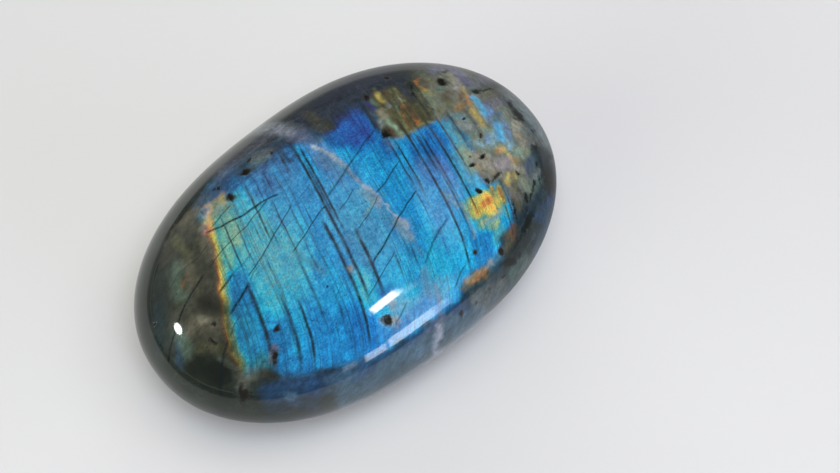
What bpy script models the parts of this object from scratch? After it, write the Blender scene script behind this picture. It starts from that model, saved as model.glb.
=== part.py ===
"""A polished labradorite palm stone: one closed solid that lies on its flat-lapped underside.

Blender 4.5, metres, +Z up. Run it with: blender --background --python part.py
+X runs along the stone and +Y across it. The origin is the middle of its footprint, on the surface that it lies on.
"""

import math

import bmesh
import bpy
import numpy as np
from mathutils import Matrix, Vector
from mathutils.bvhtree import BVHTree

# Driving dimensions of the finished stone, in metres.
LENGTH = 0.0655
WIDTH = 0.0425
THICKNESS = 0.0245
BELLY_HEIGHT = 0.0103  # the widest level, above the flat underside
LAPPED_OFF = 0.0006  # what the flat underside took off the rounded one

# The outline seen from above is an oval, a little fuller than an ellipse and drawn out of true by hand shaping.
OVAL_POWER = 2.12
OVAL_LEAN = 0.019  # pulls the two long sides opposite ways
OVAL_TAPER = -0.0064  # makes the -X end a little fuller than the +X end
OVAL_SHOULDERS = -0.0095  # fills the four shoulders

# From the belly up and down, the section is a superellipse: 2 is an ellipse, and more is fuller.
CROWN_POWER = 2.04
UNDER_POWER = 2.30

# Shallow pits where grains of black mineral dropped out: (along, across, longer radius, turn in degrees).
PITS = (
    (-0.0083, 0.0113, 0.00075, 20.0),
    (-0.0123, 0.0092, 0.00070, 75.0),
    (0.0095, 0.0032, 0.00080, -20.0),
    (0.0223, 0.0070, 0.00085, 80.0),
    (-0.0065, -0.0171, 0.00070, -35.0),
    (-0.0267, -0.0117, 0.00060, 40.0),
    (-0.0191, -0.0098, 0.00045, 0.0),
    (-0.0211, -0.0120, 0.00050, 60.0),
    (0.0146, -0.0105, 0.00050, -50.0),
    (0.0162, -0.0070, 0.00045, 10.0),
)
PIT_SLIMNESS = 0.75  # a pit's shorter radius, as a share of its longer one
PIT_DEPTH = 0.35  # as a share of its longer radius

STONE_STEPS = 5  # each step makes every triangle of the sphere four: 5120 in all
PIT_STEPS = 3
OUTLINE_SAMPLES = 1441

STONE_COLOUR = (0.055, 0.190, 0.360, 1.0)
STONE_ROUGHNESS = 0.06


def clear_scene():
    for obj in list(bpy.data.objects):
        bpy.data.objects.remove(obj)


def hand_shaped_oval(turn):
    """The outline's points (x, y), before it is trued to size: a superellipse in polar form, with three slow waves."""
    half_length, half_width = LENGTH / 2, WIDTH / 2
    along = np.abs(np.cos(turn) / half_length) ** OVAL_POWER
    across = np.abs(np.sin(turn) / half_width) ** OVAL_POWER
    reach = (along + across) ** (-1 / OVAL_POWER)
    reach = reach * (1 + OVAL_LEAN * np.sin(2 * turn))
    reach = reach * (1 + OVAL_TAPER * np.cos(3 * turn))
    reach = reach * (1 + OVAL_SHOULDERS * np.cos(4 * turn))
    return np.stack([reach * np.cos(turn), reach * np.sin(turn)], axis=-1)


def outline(turn):
    """The oval, moved and stretched a little so that it is centred and measures LENGTH by WIDTH."""
    whole = hand_shaped_oval(np.linspace(0, 2 * math.pi, OUTLINE_SAMPLES))
    low, high = whole.min(axis=0), whole.max(axis=0)
    return (hand_shaped_oval(turn) - (low + high) / 2) * np.array([LENGTH, WIDTH]) / (high - low)


def stone_surface(directions):
    """Carries points of a unit sphere to the stone: the outline drawn in, and raised or lowered, by superellipses."""
    x, y, z = directions.T
    power = np.where(z >= 0, 2 / CROWN_POWER, 2 / UNDER_POWER)
    drawn_in = np.hypot(x, y) ** power
    risen = np.abs(z) ** power
    above = BELLY_HEIGHT + (THICKNESS - BELLY_HEIGHT) * risen
    below = BELLY_HEIGHT - (BELLY_HEIGHT + LAPPED_OFF) * risen
    footprint = outline(np.arctan2(y, x)) * drawn_in[:, None]
    return np.column_stack([footprint, np.where(z >= 0, above, below)])


def lap_underside(mesh):
    """Cuts the mesh off level with the surface that the stone lies on, and closes the cut with one flat face."""
    cut = bmesh.ops.bisect_plane(
        mesh,
        geom=mesh.verts[:] + mesh.edges[:] + mesh.faces[:],
        plane_co=(0, 0, 0),
        plane_no=(0, 0, -1),
        clear_outer=True,
    )
    rim = [item for item in cut["geom_cut"] if isinstance(item, bmesh.types.BMEdge)]
    filled = bmesh.ops.contextual_create(mesh, geom=rim)
    for face in filled["faces"]:
        face.smooth = False


def stone_mesh():
    mesh = bmesh.new()
    bmesh.ops.create_icosphere(mesh, subdivisions=STONE_STEPS, radius=1.0)
    points = stone_surface(np.array([vert.co for vert in mesh.verts]))
    for vert, point in zip(mesh.verts, points):
        vert.co = point
    for face in mesh.faces:
        face.smooth = True
    lap_underside(mesh)
    bmesh.ops.recalc_face_normals(mesh, faces=mesh.faces[:])
    return mesh


def add_object(name, mesh):
    data = bpy.data.meshes.new(name)
    mesh.to_mesh(data)
    obj = bpy.data.objects.new(name, data)
    bpy.context.scene.collection.objects.link(obj)
    return obj


def pit_place(surface, along, across, radius, turn):
    """Where a pit's cutter sits: out along the surface's normal, so that it only reaches PIT_DEPTH into the stone."""
    point, normal, _, _ = surface.ray_cast(Vector((along, across, 2 * THICKNESS)), Vector((0, 0, -1)))
    depth = PIT_DEPTH * radius
    ball_radius = (radius**2 + depth**2) / (2 * depth)
    upright = normal.to_track_quat("Z", "Y").to_matrix().to_4x4()
    spun = Matrix.Rotation(math.radians(turn), 4, "Z")
    shaped = Matrix.Diagonal((ball_radius, PIT_SLIMNESS * ball_radius, ball_radius, 1.0))
    return Matrix.Translation(point + normal * (ball_radius - depth)) @ upright @ spun @ shaped


def add_pit_cutters(stone):
    """One hidden object with an egg-shaped cutter for every pit."""
    surface = BVHTree.FromBMesh(stone)
    cutters = bmesh.new()
    for along, across, radius, turn in PITS:
        place = pit_place(surface, along, across, radius, turn)
        bmesh.ops.create_icosphere(cutters, subdivisions=PIT_STEPS, radius=1.0, matrix=place)
    obj = add_object("pit_cutters", cutters)
    obj.hide_render = True
    obj.display_type = "WIRE"
    cutters.free()
    return obj


def stone_material():
    material = bpy.data.materials.new("polished_labradorite")
    material.use_nodes = True
    shader = material.node_tree.nodes["Principled BSDF"]
    shader.inputs["Base Color"].default_value = STONE_COLOUR
    shader.inputs["Roughness"].default_value = STONE_ROUGHNESS
    shader.inputs["Metallic"].default_value = 0.0
    return material


def build():
    clear_scene()
    mesh = stone_mesh()
    stone = add_object("labradorite_stone", mesh)
    stone.data.materials.append(stone_material())
    pits = stone.modifiers.new("pits", "BOOLEAN")
    pits.operation = "DIFFERENCE"
    pits.solver = "EXACT"
    pits.object = add_pit_cutters(mesh)
    mesh.free()


build()
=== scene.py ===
"""A polished labradorite palm stone on a pale table.

The stone is one numpy surface. Its flash of colour, twin planes, cracks, black grains and pale veins are laid
out in plan view, in millimetres, and kept as attributes of the mesh, which the material turns into a
finish.
"""
import math
import bpy
import numpy as np
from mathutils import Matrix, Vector


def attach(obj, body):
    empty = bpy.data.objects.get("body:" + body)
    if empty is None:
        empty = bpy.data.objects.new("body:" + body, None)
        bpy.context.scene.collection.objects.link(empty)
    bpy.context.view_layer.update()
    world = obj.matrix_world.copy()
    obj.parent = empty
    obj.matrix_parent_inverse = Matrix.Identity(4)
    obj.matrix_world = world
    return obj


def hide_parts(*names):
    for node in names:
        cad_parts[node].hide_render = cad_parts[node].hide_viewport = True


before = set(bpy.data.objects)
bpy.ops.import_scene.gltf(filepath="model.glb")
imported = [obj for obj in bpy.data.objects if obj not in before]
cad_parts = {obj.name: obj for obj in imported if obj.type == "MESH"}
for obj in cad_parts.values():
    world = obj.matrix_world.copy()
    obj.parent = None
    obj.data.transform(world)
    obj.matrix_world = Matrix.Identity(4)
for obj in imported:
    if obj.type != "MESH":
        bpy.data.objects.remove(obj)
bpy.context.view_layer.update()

MM = 0.001

# The stone's own sizes, in millimetres. +X runs along it and +Z is up, from the surface it rests on.
LENGTH = 65.5
WIDTH = 42.5
THICKNESS = 24.5
BELLY_HEIGHT = 10.3
LAPPED_OFF = 0.6
OVAL_POWER = 2.12
OVAL_LEAN = 0.019
OVAL_TAPER = -0.0064
OVAL_SHOULDERS = -0.0095
CROWN_POWER = 2.04
UNDER_POWER = 2.30
TURNS = 448
CROWN_RINGS = 144
UNDER_RINGS = 56
FLAT_RINGS = 10
OUTLINE_SAMPLES = 1441
MERIDIAN_SAMPLES = 4001

# Shallow pits: (along, across, longer radius, turn in degrees).
PITS = (
    (-8.3, 11.3, 0.75, 20), (-12.3, 9.2, 0.7, 75), (9.5, 3.2, 0.8, -20), (22.3, 7, 0.85, 80),
    (-6.5, -17.1, 0.7, -35), (-26.7, -11.7, 0.6, 40), (-19.1, -9.8, 0.45, 0), (-21.1, -12, 0.5, 60),
    (14.6, -10.5, 0.5, -50), (16.2, -7, 0.45, 10),
)
PIT_SLIMNESS = 0.75
PIT_DEPTH = 0.35
PIT_POWER = 0.8

# The twin planes all run one way: along them, this mix of along, across and height stays the same.
PLANE_ACROSS = 0.2324
PLANE_HEIGHT = 0.8016
PLANE_BEND = 0.01469


# ---------------------------------------------------------------- the shape

def hand_shaped_oval(turn):
    """Radius of a flat oval: a slightly squarer ellipse, leaned, tapered and shouldered by a few percent."""
    along = np.abs(np.cos(turn) / (LENGTH / 2)) ** OVAL_POWER
    across = np.abs(np.sin(turn) / (WIDTH / 2)) ** OVAL_POWER
    lean = 1 + OVAL_LEAN * np.sin(2 * turn)
    taper = 1 + OVAL_TAPER * np.cos(3 * turn)
    shoulders = 1 + OVAL_SHOULDERS * np.cos(4 * turn)
    return (along + across) ** (-1 / OVAL_POWER) * lean * taper * shoulders


def plain_oval(turn):
    """The oval's points in plan, before it is centred and scaled."""
    return np.stack((np.cos(turn), np.sin(turn)), -1) * hand_shaped_oval(turn)[:, None]


def outline(turn):
    """The widest level in plan: the oval, centred and scaled to the exact length and width."""
    loop = plain_oval(np.linspace(0, 2 * np.pi, OUTLINE_SAMPLES))
    low = loop.min(0)
    high = loop.max(0)
    return (plain_oval(turn) - (low + high) / 2) * np.array((LENGTH, WIDTH)) / (high - low)


def drawn_in(lean, power):
    """Share of the outline that a level keeps: the sine of its lean from straight up, to 2 over power."""
    return np.abs(np.sin(lean)) ** (2 / power)


def level_height(lean):
    """Height of a level: the crown over the belly and the underside below it are superellipses."""
    crown = BELLY_HEIGHT + (THICKNESS - BELLY_HEIGHT) * np.abs(np.cos(lean)) ** (2 / CROWN_POWER)
    under = BELLY_HEIGHT - (BELLY_HEIGHT + LAPPED_OFF) * np.abs(np.cos(lean)) ** (2 / UNDER_POWER)
    return np.where(lean <= np.pi / 2, crown, under)


def evenly_spaced(first, last, count):
    """Leans that step evenly along the curve of the longest meridian: its length is summed and divided."""
    leans = np.linspace(first, last, MERIDIAN_SAMPLES)
    level = drawn_in(leans, np.where(leans <= np.pi / 2, CROWN_POWER, UNDER_POWER)) * LENGTH / 2
    steps = np.hypot(np.diff(level), np.diff(level_height(leans)))
    length = np.concatenate(((0.0,), np.cumsum(steps)))
    return np.interp(np.linspace(0, length[-1], count + 1), length, leans)[1:]


def stone_levels():
    """Share of the outline and height of each ring, from just below the top to near the flat's middle."""
    lapped = np.arccos(-(BELLY_HEIGHT / (BELLY_HEIGHT + LAPPED_OFF)) ** (UNDER_POWER / 2))
    crown = evenly_spaced(0, np.pi / 2, CROWN_RINGS)
    under = evenly_spaced(np.pi / 2, lapped, UNDER_RINGS)
    shares = np.concatenate((drawn_in(crown, CROWN_POWER), drawn_in(under, UNDER_POWER)))
    heights = np.concatenate((level_height(crown), level_height(under)))
    flat = shares[-1] * np.linspace(1, 0, FLAT_RINGS + 1)[1:-1]
    return np.concatenate((shares, flat)), np.concatenate((heights, np.zeros(len(flat))))


def block_distance(x, y, middle_x, middle_y, half_long, half_short, degrees, power=2.0):
    """0 at the middle and 1 on the edge of an oval turned by degrees from +X; a higher power squares it."""
    turn = math.radians(degrees)
    long_way = ((x - middle_x) * math.cos(turn) + (y - middle_y) * math.sin(turn)) / half_long
    short_way = ((y - middle_y) * math.cos(turn) - (x - middle_x) * math.sin(turn)) / half_short
    return (np.abs(long_way) ** power + np.abs(short_way) ** power) ** (1 / power)


def press_pits(points):
    """Each pit pushes the crown in along its normal by a rounded bowl, deepest at the pit's middle."""
    round_step = np.roll(points, -1, 1) - np.roll(points, 1, 1)
    inward = np.cross(round_step, np.gradient(points, axis=0))
    inward /= np.linalg.norm(inward, axis=-1, keepdims=True)
    x, y, z = np.moveaxis(points, -1, 0)
    depth = np.zeros(x.shape)
    for along, across, radius, degrees in PITS:
        reach = block_distance(x, y, along, across, radius, radius * PIT_SLIMNESS, degrees)
        bowl = np.clip(1 - reach ** 2, 0, 1) ** PIT_POWER * radius * PIT_DEPTH
        depth = np.maximum(depth, np.where(z > BELLY_HEIGHT, bowl, 0))
    return points + inward * depth[..., None]


def stone_surface():
    """Points in millimetres: each ring is the outline drawn in, at its height; then the two poles."""
    turn = np.linspace(0, 2 * np.pi, TURNS, endpoint=False)
    shares, heights = stone_levels()
    plan = outline(turn)[None, :, :] * shares[:, None, None]
    height = np.broadcast_to(heights[:, None], plan.shape[:2])
    rings = press_pits(np.concatenate((plan, height[..., None]), -1))
    poles = np.array(((0.0, 0.0, THICKNESS), (0.0, 0.0, 0.0)))
    return np.concatenate((rings.reshape(-1, 3), poles)), len(shares)


def ring_quads(rings, turns):
    """Quads between neighbouring rings of points: they face outwards as the rings sink, up as they widen."""
    here = np.arange(turns)
    after = (here + 1) % turns
    row = (np.arange(rings - 1) * turns)[:, None]
    quads = np.stack((row + here, row + turns + here, row + turns + after, row + after), -1)
    return quads.reshape(-1, 4)


def stone_faces(rings):
    """Quads between the rings, and a fan of triangles round each pole, all facing outwards."""
    here = np.arange(TURNS)
    after = (here + 1) % TURNS
    top = rings * TURNS
    last = top - TURNS
    top_fan = np.stack((np.full(TURNS, top), here, after), -1)
    bottom_fan = np.stack((np.full(TURNS, top + 1), last + after, last + here), -1)
    return ring_quads(rings, TURNS).tolist() + top_fan.tolist() + bottom_fan.tolist()


# ---------------------------------------------------------------- marks, laid out in plan view

# The colours of the flash from one end of the spectrum to the other, as sRGB.
SPECTRUM = (
    (0, (66, 72, 150)), (0.1, (52, 76, 160)), (0.24, (32, 108, 179)), (0.36, (33, 144, 204)),
    (0.48, (40, 175, 208)), (0.58, (85, 169, 166)), (0.66, (134, 174, 136)), (0.73, (176, 190, 108)),
    (0.79, (226, 200, 92)), (0.86, (214, 144, 70)), (0.92, (142, 92, 60)), (1, (84, 70, 58)),
)

# The part of the crown that flashes strongly, as an outline in plan.
FLASH_OUTLINE = (
    (-15.2, 10.4), (-13.6, 11.2), (-12.6, 12.8), (-9, 13.2), (-5.5, 12), (-3, 11.4), (0, 11), (2.2, 9.6),
    (4.6, 9), (6.6, 9.9), (8.6, 10.6), (9.9, 9.8), (9.6, 6.8), (9, 4.6), (9.4, 1.9), (12, 1.3), (16.4, 1.2),
    (18.4, 0.7), (18.7, -3), (17.8, -5.3), (15.9, -6.2), (15.9, -9.6), (16.3, -10.4), (17.9, -10.6),
    (17.9, -13.4), (16.9, -15.2), (15.2, -15.8), (13.4, -16.4), (12.4, -18), (10, -18.1), (7.6, -18),
    (5.6, -18.6), (3.6, -19.5), (-4, -19.7), (-11, -19), (-14.3, -17.7), (-18.3, -16), (-21.1, -14.3),
    (-23, -12.2), (-25.2, -10.9), (-25.6, -8), (-24.4, -5.6), (-23, -3.2), (-21.6, -0.9), (-20.4, 1.2),
    (-19.3, 3), (-18.4, 4.9), (-17.6, 6.9), (-16.4, 9),
)
# How soft its edge is, by distance across, and how far the flash runs out over it, by distance along.
EDGE_SOFTNESS = ((-20, -12, 4, 9, 12), (1.0, 1.1, 1.1, 2.2, 4.0))
EDGE_REACH = ((-17, -14), (0.68, 0.55))
# The side of it that ends in a rainbow: place on the spectrum by distance in from the edge, and then, by
# distance across, where the rainbow stops and how bright it is.
RAINBOW_EDGE = FLASH_OUTLINE[-10:] + FLASH_OUTLINE[:1]
RAINBOW_HUES = ((-0.60, -0.28, -0.04, 0.22, 0.48, 0.92), (0.97, 0.91, 0.86, 0.79, 0.72, 0.60))
RAINBOW_ENDS = ((-11.5, -9.5, 8, 10), (0, 1, 1, 0))
RAINBOW_LIGHT = ((-11, -8, -4, 0, 4), (0.35, 0.42, 0.55, 0.72, 0.88))

# Soft blocks: (along, across, half length, half width, turn, softness, place on the spectrum, strength).
MAIN_HUE = 0.38
MAIN_BLOCKS = (
    (-14, -1.5, 8.5, 5.2, 75, 0.9, 0.515, 0.95), (-17.4, -6, 3.4, 1.1, 76, 0.8, 0.52, 1),
    (-20, -3.4, 3.4, 1.5, 68, 0.8, 0.31, 0.68), (-22.7, -7.8, 3.5, 1.9, 68, 0.9, 0.4, 0.62),
    (-24.6, -6.6, 5, 0.9, 66, 1.1, 0.62, 0.4), (-13, -14, 11, 3.8, 0, 0.9, 0.33, 0.8),
    (-10.5, -10, 3, 2.4, 75, 0.9, 0.4, 0.9), (-17, -11.2, 3.2, 1.4, 60, 0.9, 0.43, 1),
    (-20.8, -12.2, 4.4, 2.6, 60, 0.9, 0.34, 0.68), (-9.2, -16, 3, 2, 60, 0.9, 0.29, 1),
    (-9, 3.2, 3.4, 1.4, 75, 0.9, 0.4, 0.9), (-7.8, 7.8, 2.6, 2.2, 75, 0.9, 0.3, 0.78),
    (-11.2, 11.6, 3, 1.8, 12, 0.9, 0.22, 0.4), (-12.6, 7.8, 2.4, 1.6, 60, 0.9, 0.48, 0.86),
    (-15.6, 5.2, 3.4, 1.5, 70, 0.9, 0.61, 0.86), (-9, 11, 3, 1.1, 0, 0.9, 0.27, 0.45),
    (-4, 10.6, 4, 1.4, 5, 0.9, 0.26, 0.45), (-2, -7, 5.4, 3.4, 75, 0.9, 0.42, 0.82),
    (-5, 4.2, 4.6, 2.4, 75, 0.9, 0.35, 0.86), (0.2, 6.5, 4.5, 1.3, 85, 0.9, 0.3, 0.84),
    (-3.2, 8.2, 2.2, 1.6, 75, 0.9, 0.28, 0.66), (4.6, -2, 5.4, 2.6, 70, 0.9, 0.38, 1.06),
    (4.6, 7.4, 2.4, 2, 75, 0.9, 0.19, 0.74), (7, 7, 4.2, 2.6, 75, 0.8, 0.15, 0.9),
    (8.2, 1.6, 2.4, 0.9, 75, 0.9, 0.25, 0.85), (9.4, 9.4, 1.4, 0.6, 75, 0.9, 0.12, 0.5),
    (5.6, 9.4, 2.4, 1.1, 8, 0.9, 0.1, 0.48), (6, -14.6, 4, 3.2, 60, 0.9, 0.45, 1.32),
    (3, -16.2, 2.4, 1.8, 60, 0.9, 0.48, 1.35), (13.4, -16, 1.8, 1, 10, 0.8, 0.54, 0.85),
    (8.4, -9.4, 5.2, 1.6, 75, 0.9, 0.38, 1), (4.9, -6.6, 2.4, 1.4, 72, 0.9, 0.38, 1.2),
    (7, -14, 1.8, 1.4, 66, 0.9, 0.44, 1.45), (-17.9, 2.8, 3, 1, 66, 0.9, 0.6, 1.02),
    (-5, -12, 1.8, 0.9, 74, 0.9, 0.42, 0.62), (-1, -13.6, 3.4, 2.4, 20, 0.9, 0.44, 1),
    (-6.8, -12.8, 2.6, 1.4, 70, 0.9, 0.5, 0.95), (-3.6, -16.6, 3.4, 1.2, 4, 0.9, 0.47, 1),
    (11, -15.8, 2.2, 1.4, 70, 0.8, 0.36, 0.95), (11, -2.6, 4.4, 1.3, 75, 0.8, 0.29, 0.9),
    (13.8, -3, 4.6, 1.9, 75, 0.8, 0.25, 1), (17.2, -2.4, 3.4, 1, 75, 0.7, 0.44, 0.72),
    (14.8, -7, 3.4, 1.5, 75, 0.9, 0.45, 0.8), (16.4, -5.6, 2.2, 0.8, 75, 0.8, 0.64, 0.6),
    (-23.6, -12.2, 2, 1.3, 40, 0.9, 0.5, 0.3),
)
# The same for smaller islands of flash, which also bring their strength outside the main outline.
ISLAND_BLOCKS = (
    (14.2, -12.3, 3, 1.7, 5, 0.7, 0.785, 1), (14.3, -12.2, 1.5, 0.5, 6, 0.9, 0.86, 0.95),
    (16.5, -10.8, 0.5, 0.3, 70, 0.9, 0.85, 0.8), (17.3, -11.9, 1.2, 0.4, 70, 0.9, 0.85, 0.85),
    (16.2, -12.8, 0.6, 0.35, 20, 0.9, 0.78, 0.9), (13.8, -14.6, 1.2, 0.6, 10, 0.9, 0.65, 0.85),
    (12.3, -14.2, 1.2, 0.7, 20, 0.9, 0.62, 0.95), (15.4, -14, 0.8, 0.3, 68, 0.9, 0.54, 0.9),
    (16.4, -14.2, 1.1, 0.45, 68, 0.8, 0.56, 0.85),
)
# Blocks of milky feldspar over the flash: the last value is how milky.
MILK_BLOCKS = (
    (-2.5, -5, 8, 4.4, 80, 1.2, 0.1), (-12, 0.5, 8, 4.6, 75, 1.2, 0.12), (-6, 7, 5, 3.4, 75, 1.2, 0.08),
    (0.6, 4.6, 4.4, 1.4, 85, 1, 0.16), (-13, 4, 3.4, 3, 75, 1.2, 0.1), (8.4, -9, 5, 2.2, 75, 1.2, 0.14),
    (9.8, -7, 4, 1, 77, 1.2, 0.1), (12, -7.4, 3.4, 1.2, 77, 1.2, 0.16),
    (15.6, -6.8, 3.2, 1.4, 75, 1.2, 0.16), (-1.5, -17.9, 5.6, 1.2, 0, 1, 0.17),
)

# How square the blocks are: 2 is an oval.
BLOCK_POWER = 2.6

# Colours of the cloudy feldspar and of its fainter flashes, as sRGB.
COAL = (24, 28, 24)
BLACK_GREEN = (34, 42, 40)
DEEP_TEAL = (30, 50, 58)
GREY_GREEN = (39, 46, 40)
SLATE = (48, 54, 64)
DARK_OLIVE = (58, 60, 42)
OLIVE = (86, 84, 60)
MOSS = (104, 106, 72)
KHAKI = (120, 122, 80)
UMBER = (84, 66, 48)
BROWN = (110, 80, 52)
TAUPE = (104, 100, 86)
BEIGE = (148, 146, 126)
ROSE_GREY = (152, 147, 145)
PEARL = (168, 178, 188)
PEWTER = (106, 112, 100)
PALE_GREY = (126, 138, 134)
SAGE = (118, 128, 104)
PALE_GREEN = (134, 160, 138)
SEA_GREEN = (98, 126, 112)
HAZE_BLUE = (62, 82, 104)
INDIGO = (50, 58, 114)
NAVY = (38, 70, 104)
STEEL = (74, 106, 124)
SIDE_TEAL = (42, 72, 84)
ICE = (130, 170, 182)
SKY = (82, 166, 208)
HAZY_SKY = (100, 136, 182)
TEAL = (84, 146, 166)
LILAC = (96, 98, 116)
VIOLET_GREY = (96, 94, 128)
STRAW = (200, 184, 98)
GOLD = (172, 154, 82)
TAN = (158, 138, 94)
OCHRE = (140, 106, 60)
COPPER = (168, 110, 60)
APRICOT = (190, 150, 104)
PINK = (186, 128, 112)
INK = (40, 46, 58)
# Colours of the veils, lines, grains and specks.
MILKY = (186, 184, 196)
TWIN_SHADE = (20, 36, 46)
CRACK_SHADE = (12, 26, 32)
SOOT = (20, 24, 19)
GRAIN_BLACK = (19, 18, 12)
SPECK_DARK = (20, 26, 24)

# Soft blocks of the body: (along, across, half length, half width, turn, softness, colour, share).
BODY_BLOCKS = (
    (-2, -3, 17.6, 15.5, 0, 0.3, DEEP_TEAL, 1), (-21, 8, 5, 4.2, 60, 0.9, TAUPE, 0.2),
    (-25, -1, 5, 4, 60, 0.9, TAUPE, 0.3), (9, 12.6, 10, 4, 4, 0.8, INK, 0.9),
    (21.5, -1.5, 12, 5.4, 78, 0.5, PEWTER, 0.95), (13.6, 5.4, 5, 3.8, 78, 0.7, OLIVE, 0.95),
)
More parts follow.
